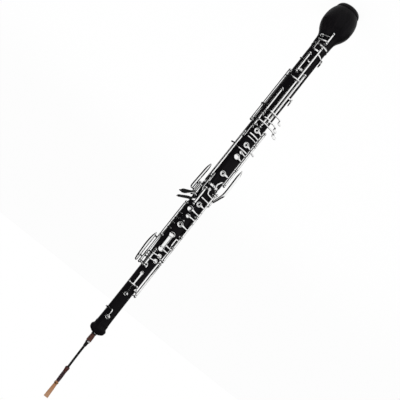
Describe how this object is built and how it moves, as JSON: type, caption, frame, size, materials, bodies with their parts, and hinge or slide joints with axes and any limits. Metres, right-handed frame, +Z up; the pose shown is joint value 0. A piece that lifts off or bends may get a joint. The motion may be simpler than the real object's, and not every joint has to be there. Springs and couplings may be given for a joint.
{
  "type": "english horn",
  "caption": "Double-reed woodwind with bulb bell, two black wooden joints carrying silver keywork, and a bent metal crook with a cane reed.",
  "frame": {"origin": "centre of the bell mouth, in the plane of its rim", "axes": "+Z up the bore towards the reed; the keys for the fingers face -Y; the left little finger keys stand out to +X"},
  "size_m": [0.0819, 0.0708, 0.9139],
  "materials": {
    "grenadilla": "satin, almost black, fine grain",
    "silver_plate": "polished silver plate",
    "steel": "bright drawn steel",
    "cork": "greased cork",
    "brown_tubing": "semi-gloss",
    "burgundy_thread": "waxed thread",
    "brass": "bright",
    "cane": "scraped cane"
  },
  "bodies": {
    "bell": {"bell_body": "grenadilla", "bell_socket_ring": "silver_plate"},
    "lower_joint": {"lower_joint_body": "grenadilla", "lower_socket_ring": "silver_plate", "lower_tenon_cork": "cork", "thumb_rest": "silver_plate", "right_stack_rod": "steel"},
    "upper_joint": {"upper_joint_body": "grenadilla", "upper_tenon_cork": "cork", "crook_socket_ring": "silver_plate", "left_stack_rod": "steel"},
    "crook": {"crook_cork": "cork", "crook_collar": "silver_plate", "crook_tube": "silver_plate"},
    "reed": {"reed_sleeve": "brown_tubing", "reed_staple": "brass", "reed_winding": "burgundy_thread", "reed_wire": "brass", "reed_blade_front": "cane", "reed_blade_back": "cane"},
    "first_octave_key": {"first_octave_key": "silver_plate"},
    "octave_link": {"octave_link": "silver_plate"},
    "upper_trill_key": {"upper_trill_key": "silver_plate"},
    "lower_trill_key": {"lower_trill_key": "silver_plate"},
    "high_trill_key": {"high_trill_key": "silver_plate"},
    "side_octave_lever": {"side_octave_lever": "silver_plate"},
    "half_hole_key": {"half_hole_key": "silver_plate"},
    "upper_link_key": {"upper_link_key": "silver_plate"},
    "a_plate_key": {"a_plate_key": "silver_plate"},
    "b_flat_vent_key": {"b_flat_vent_key": "silver_plate"},
    "g_plate_key": {"g_plate_key": "silver_plate"},
    "g_sharp_key": {"g_sharp_key": "silver_plate"},
    "left_link_key": {"left_link_key": "silver_plate"},
    "b_flat_link": {"b_flat_link": "silver_plate"},
    "low_b_lever": {"low_b_lever": "silver_plate"},
    "left_e_flat_lever": {"left_e_flat_lever": "silver_plate"},
    "left_f_lever": {"left_f_lever": "silver_plate"},
    "right_trill_lever": {"right_trill_lever": "silver_plate"},
    "f_sharp_key": {"f_sharp_key": "silver_plate"},
    "e_key": {"e_key": "silver_plate"},
    "d_key": {"d_key": "silver_plate"},
    "f_vent_key": {"f_vent_key": "silver_plate"},
    "low_b_transfer_key": {"low_b_transfer_key": "silver_plate"},
    "low_b_second_transfer_key": {"low_b_second_transfer_key": "silver_plate"},
    "low_c_key": {"low_c_key": "silver_plate"},
    "c_sharp_key": {"c_sharp_key": "silver_plate"},
    "low_b_key": {"low_b_key": "silver_plate"},
    "e_flat_key": {"e_flat_key": "silver_plate"},
    "low_vent_key": {"low_vent_key": "silver_plate"},
    "bell_vent_key": {"bell_vent_key": "silver_plate"},
    "second_octave_key": {"second_octave_key": "silver_plate"}
  },
  "joints": [
    {"name": "lower_joint_slide", "type": "slide", "parent": "bell", "child": "lower_joint", "axis": [0, 0, 1], "range_m": [0, 0.0205]},
    {"name": "upper_joint_slide", "type": "slide", "parent": "lower_joint", "child": "upper_joint", "axis": [0, 0, 1], "range_m": [0, 0.0215]},
    {"name": "crook_slide", "type": "slide", "parent": "upper_joint", "child": "crook", "axis": [0, 0, 1], "range_m": [0, 0.013]},
    {"name": "reed_slide", "type": "slide", "parent": "crook", "child": "reed", "axis": [-0.0196, 0.3741, 0.9272], "range_m": [0, 0.008]},
    {"name": "first_octave_key_turn", "type": "hinge", "parent": "upper_joint", "child": "first_octave_key", "pos_m": [0.00773, 0.01339, 0.6], "axis": [0, 0, 1], "range_deg": [0, 5], "stiffness_Nm_per_rad": 0.06, "springref_deg": -6.88},
    {"name": "octave_link_turn", "type": "hinge", "parent": "upper_joint", "child": "octave_link", "pos_m": [0.00668, -0.01573, 0.6], "axis": [0, 0, -1], "range_deg": [0, 4], "stiffness_Nm_per_rad": 0.06, "springref_deg": -6.88},
    {"name": "upper_trill_key_turn", "type": "hinge", "parent": "upper_joint", "child": "upper_trill_key", "pos_m": [0.01714, -0.0095, 0.6], "axis": [0, 0, 1], "range_deg": [0, 8], "stiffness_Nm_per_rad": 0.06, "springref_deg": -6.88},
    {"name": "lower_trill_key_turn", "type": "hinge", "parent": "upper_joint", "child": "lower_trill_key", "pos_m": [0.01714, -0.0095, 0.6], "axis": [0, 0, 1], "range_deg": [0, 8], "stiffness_Nm_per_rad": 0.06, "springref_deg": -6.88},
    {"name": "high_trill_key_turn", "type": "hinge", "parent": "upper_joint", "child": "high_trill_key", "pos_m": [-0.01622, -0.00228, 0.6], "axis": [0, 0, -1], "range_deg": [0, 8], "stiffness_Nm_per_rad": 0.06, "springref_deg": -6.88},
    {"name": "side_octave_lever_turn", "type": "hinge", "parent": "upper_joint", "child": "side_octave_lever", "pos_m": [0.01738, 0.00633, 0.6], "axis": [0, 0, -1], "range_deg": [0, 6], "stiffness_Nm_per_rad": 0.06, "springref_deg": -6.88},
    {"name": "half_hole_key_turn", "type": "hinge", "parent": "upper_joint", "child": "half_hole_key", "pos_m": [-0.01669, -0.01084, 0.6], "axis": [0, 0, 1], "range_deg": [0, 4.5], "stiffness_Nm_per_rad": 0.06, "springref_deg": -6.88},
    {"name": "upper_link_key_turn", "type": "hinge", "parent": "upper_joint", "child": "upper_link_key", "pos_m": [-0.01669, -0.01084, 0.6], "axis": [0, 0, 1], "range_deg": [0, 4.5], "stiffness_Nm_per_rad": 0.06, "springref_deg": -6.88},
    {"name": "a_plate_key_turn", "type": "hinge", "parent": "upper_joint", "child": "a_plate_key", "pos_m": [-0.01669, -0.01084, 0.6], "axis": [0, 0, 1], "range_deg": [0, 4.5], "stiffness_Nm_per_rad": 0.06, "springref_deg": -6.88},
    {"name": "b_flat_vent_key_turn", "type": "hinge", "parent": "upper_joint", "child": "b_flat_vent_key", "pos_m": [-0.01669, -0.01084, 0.6], "axis": [0, 0, 1], "range_deg": [0, 4.5], "stiffness_Nm_per_rad": 0.06, "springref_deg": -6.88},
    {"name": "g_plate_key_turn", "type": "hinge", "parent": "upper_joint", "child": "g_plate_key", "pos_m": [-0.01669, -0.01084, 0.6], "axis": [0, 0, 1], "range_deg": [0, 4.5], "stiffness_Nm_per_rad": 0.06, "springref_deg": -6.88},
    {"name": "g_sharp_key_turn", "type": "hinge", "parent": "upper_joint", "child": "g_sharp_key", "pos_m": [-0.01669, -0.01084, 0.6], "axis": [0, 0, -1], "range_deg": [0, 8], "stiffness_Nm_per_rad": 0.06, "springref_deg": -6.88},
    {"name": "left_link_key_turn", "type": "hinge", "parent": "upper_joint", "child": "left_link_key", "pos_m": [-0.01669, -0.01084, 0.6], "axis": [0, 0, 1], "range_deg": [0, 4.5], "stiffness_Nm_per_rad": 0.06, "springref_deg": -6.88},
    {"name": "b_flat_link_turn", "type": "hinge", "parent": "upper_joint", "child": "b_flat_link", "pos_m": [0.01714, -0.0095, 0.6], "axis": [0, 0, -1], "range_deg": [0, 4.5], "stiffness_Nm_per_rad": 0.06, "springref_deg": -6.88},
    {"name": "low_b_lever_turn", "type": "hinge", "parent": "upper_joint", "child": "low_b_lever", "pos_m": [0.00481, -0.01931, 0.6], "axis": [0, 0, 1], "range_deg": [0, 4.5], "stiffness_Nm_per_rad": 0.06, "springref_deg": -6.88},
    {"name": "left_e_flat_lever_turn", "type": "hinge", "parent": "upper_joint", "child": "left_e_flat_lever", "pos_m": [0.01407, -0.01407, 0.6], "axis": [0, 0, 1], "range_deg": [0, 5], "stiffness_Nm_per_rad": 0.06, "springref_deg": -6.88},
    {"name": "left_f_lever_turn", "type": "hinge", "parent": "upper_joint", "child": "left_f_lever", "pos_m": [0.0196, 0.00346, 0.6], "axis": [0, 0, -1], "range_deg": [0, 7], "stiffness_Nm_per_rad": 0.06, "springref_deg": -6.88},
    {"name": "right_trill_lever_turn", "type": "hinge", "parent": "upper_joint", "child": "right_trill_lever", "pos_m": [-0.0196, 0.00346, 0.6], "axis": [0, 0, 1], "range_deg": [0, 7], "stiffness_Nm_per_rad": 0.06, "springref_deg": -6.88},
    {"name": "f_sharp_key_turn", "type": "hinge", "parent": "lower_joint", "child": "f_sharp_key", "pos_m": [-0.01955, -0.0056, 0.25], "axis": [0, 0, 1], "range_deg": [0, 4.5], "stiffness_Nm_per_rad": 0.06, "springref_deg": -6.88},
    {"name": "e_key_turn", "type": "hinge", "parent": "lower_joint", "child": "e_key", "pos_m": [-0.01955, -0.0056, 0.25], "axis": [0, 0, 1], "range_deg": [0, 4.5], "stiffness_Nm_per_rad": 0.06, "springref_deg": -6.88},
    {"name": "d_key_turn", "type": "hinge", "parent": "lower_joint", "child": "d_key", "pos_m": [-0.01955, -0.0056, 0.25], "axis": [0, 0, 1], "range_deg": [0, 4.5], "stiffness_Nm_per_rad": 0.06, "springref_deg": -6.88},
    {"name": "f_vent_key_turn", "type": "hinge", "parent": "lower_joint", "child": "f_vent_key", "pos_m": [-0.01955, -0.0056, 0.25], "axis": [0, 0, 1], "range_deg": [0, 4.5], "stiffness_Nm_per_rad": 0.06, "springref_deg": -6.88},
    {"name": "low_b_transfer_key_turn", "type": "hinge", "parent": "lower_joint", "child": "low_b_transfer_key", "pos_m": [0.01266, -0.01591, 0.25], "axis": [0, 0, -1], "range_deg": [0, 4.5], "stiffness_Nm_per_rad": 0.06, "springref_deg": -6.88},
    {"name": "low_b_second_transfer_key_turn", "type": "hinge", "parent": "lower_joint", "child": "low_b_second_transfer_key", "pos_m": [0.00827, -0.01858, 0.25], "axis": [0, 0, -1], "range_deg": [0, 4.5], "stiffness_Nm_per_rad": 0.06, "springref_deg": -6.88},
    {"name": "low_c_key_turn", "type": "hinge", "parent": "lower_joint", "child": "low_c_key", "pos_m": [-0.01017, -0.01761, 0.25], "axis": [0, 0, -1], "range_deg": [0, 6.75], "stiffness_Nm_per_rad": 0.06, "springref_deg": -6.88},
    {"name": "c_sharp_key_turn", "type": "hinge", "parent": "lower_joint", "child": "c_sharp_key", "pos_m": [0.01865, -0.00811, 0.25], "axis": [0, 0, -1], "range_deg": [0, 4], "stiffness_Nm_per_rad": 0.06, "springref_deg": -6.88},
    {"name": "low_b_key_turn", "type": "hinge", "parent": "lower_joint", "child": "low_b_key", "pos_m": [-0.00353, -0.02003, 0.25], "axis": [0, 0, -1], "range_deg": [0, 4.5], "stiffness_Nm_per_rad": 0.06, "springref_deg": -6.88},
    {"name": "e_flat_key_turn", "type": "hinge", "parent": "lower_joint", "child": "e_flat_key", "pos_m": [0.00795, -0.01872, 0.25], "axis": [0, 0, -1], "range_deg": [0, 4.5], "stiffness_Nm_per_rad": 0.06, "springref_deg": -6.88},
    {"name": "low_vent_key_turn", "type": "hinge", "parent": "lower_joint", "child": "low_vent_key", "pos_m": [0.00827, -0.01858, 0.25], "axis": [0, 0, 1], "range_deg": [0, 4.5], "stiffness_Nm_per_rad": 0.06, "springref_deg": -6.88},
    {"name": "bell_vent_key_turn", "type": "hinge", "parent": "bell", "child": "bell_vent_key", "pos_m": [-0.00424, -0.02406, 0.0805], "axis": [0, 0, -1], "range_deg": [0, 4.5], "stiffness_Nm_per_rad": 0.06, "springref_deg": -6.88},
    {"name": "second_octave_key_turn", "type": "hinge", "parent": "upper_joint", "child": "second_octave_key", "pos_m": [0, -0.01545, 0.66534], "axis": [1, 0, 0], "range_deg": [0, 4], "stiffness_Nm_per_rad": 0.06, "springref_deg": -6.88}
  ],
  "couplings": [
    {"joint": "upper_link_key_turn", "follows": "half_hole_key_turn", "ratio": 1},
    {"joint": "b_flat_link_turn", "follows": "a_plate_key_turn", "ratio": 1},
    {"joint": "b_flat_vent_key_turn", "follows": "g_plate_key_turn", "ratio": 1},
    {"joint": "left_link_key_turn", "follows": "g_plate_key_turn", "ratio": 1},
    {"joint": "low_b_transfer_key_turn", "follows": "low_b_lever_turn", "ratio": 1},
    {"joint": "low_b_second_transfer_key_turn", "follows": "low_b_lever_turn", "ratio": 1},
    {"joint": "low_b_key_turn", "follows": "low_b_lever_turn", "ratio": 1},
    {"joint": "low_vent_key_turn", "follows": "low_b_lever_turn", "ratio": 1},
    {"joint": "bell_vent_key_turn", "follows": "low_b_lever_turn", "ratio": 1}
  ]
}
